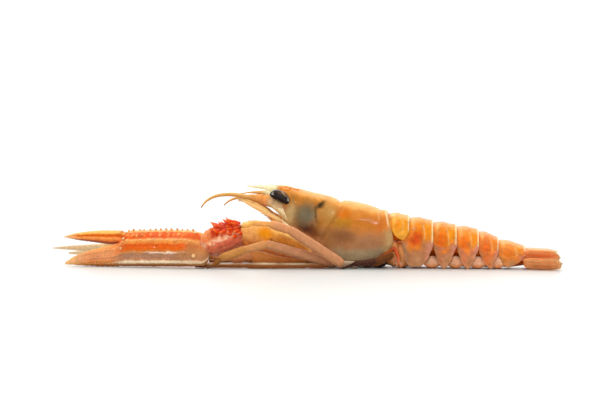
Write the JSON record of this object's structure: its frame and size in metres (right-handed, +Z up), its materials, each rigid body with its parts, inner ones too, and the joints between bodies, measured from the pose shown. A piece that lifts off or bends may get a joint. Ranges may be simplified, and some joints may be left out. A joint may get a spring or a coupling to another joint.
{
  "type": "raw langoustine",
  "caption": "Whole raw langoustine lying on its belly, long ridged claws stretched forward, black eyes, segmented tail laid flat.",
  "frame": {"origin": "middle of the footprint, on the table the animal lies on", "axes": "+X towards the tail and -X towards the claws, along the longest extent; +Z up; the animal's left side faces -Y"},
  "size_m": [0.25, 0.0732, 0.039],
  "materials": {
    "shell": "wet translucent orange shell of the body",
    "claw": "wet orange shell of the claws, pink on the flanks",
    "leg": "thin pinkish shell of legs and feelers",
    "flesh": "pale soft underside and paddles",
    "eye": "glossy black"
  },
  "bodies": {
    "root": {"carapace": "shell", "eye_left": "eye", "eye_right": "eye", "eye_stalk_left": "leg", "eye_stalk_right": "leg", "feeler_left": "leg", "feeler_right": "leg", "feeler_scale_left": "leg", "feeler_scale_right": "leg", "finger_left": "claw", "finger_right": "claw", "hand_left": "claw", "hand_right": "claw", "hip_left": "flesh", "hip_right": "flesh", "inner_uropod_left": "shell", "inner_uropod_right": "shell", "leg_2_left": "leg", "leg_2_right": "leg", "leg_3_left": "leg", "leg_3_right": "leg", "leg_4_left": "leg", "leg_4_right": "leg", "leg_5_left": "leg", "leg_5_right": "leg", "mouth_leg_left": "leg", "mouth_leg_right": "leg", "outer_uropod_left": "shell", "outer_uropod_right": "shell", "paddle_1_left": "flesh", "paddle_1_right": "flesh", "paddle_2_left": "flesh", "paddle_2_right": "flesh", "paddle_3_left": "flesh", "paddle_3_right": "flesh", "paddle_4_left": "flesh", "paddle_4_right": "flesh", "paddle_5_left": "flesh", "paddle_5_right": "flesh", "small_feeler_left": "leg", "small_feeler_right": "leg", "sternum": "flesh", "tail_ring_1": "shell", "tail_ring_2": "shell", "tail_ring_3": "shell", "tail_ring_4": "shell", "tail_ring_5": "shell", "tail_ring_6": "shell", "telson": "shell", "upper_arm_left": "shell", "upper_arm_right": "shell", "wrist_left": "claw", "wrist_right": "claw"}
  },
  "joints": []
}
